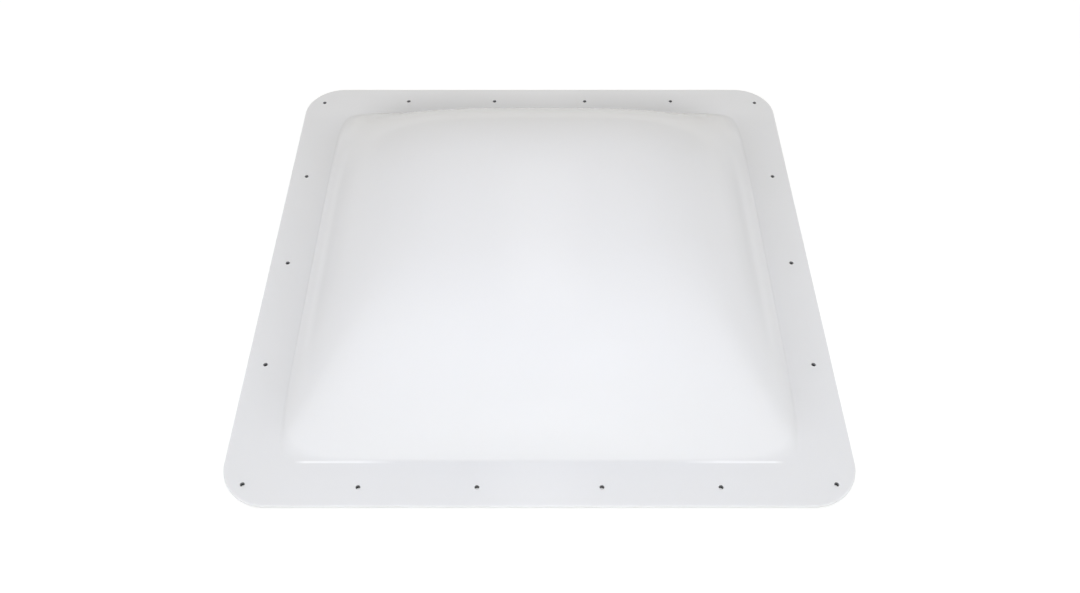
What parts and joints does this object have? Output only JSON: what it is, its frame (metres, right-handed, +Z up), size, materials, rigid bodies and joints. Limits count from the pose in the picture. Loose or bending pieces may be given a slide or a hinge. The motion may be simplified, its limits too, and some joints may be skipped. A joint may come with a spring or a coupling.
{
  "type": "rv skylight",
  "caption": "Square white dome skylight with a drilled screw flange and a foam seal under the flange, for a camper roof opening.",
  "frame": {"origin": "centre of the seal's underside, in the plane where the skylight rests on the roof", "axes": "+Z up, out of the roof, along the dome's axis; -Y towards the front edge of the flange; +X to the right seen from the front"},
  "size_m": [0.6604, 0.6604, 0.1046],
  "materials": {
    "white_dome": "glossy opal white, blown sheet",
    "foam_seal": "matt closed-cell foam strip"
  },
  "bodies": {
    "root": {"outer_dome": "white_dome", "seal_front": "foam_seal", "seal_rear": "foam_seal", "seal_left": "foam_seal", "seal_right": "foam_seal"}
  },
  "joints": []
}
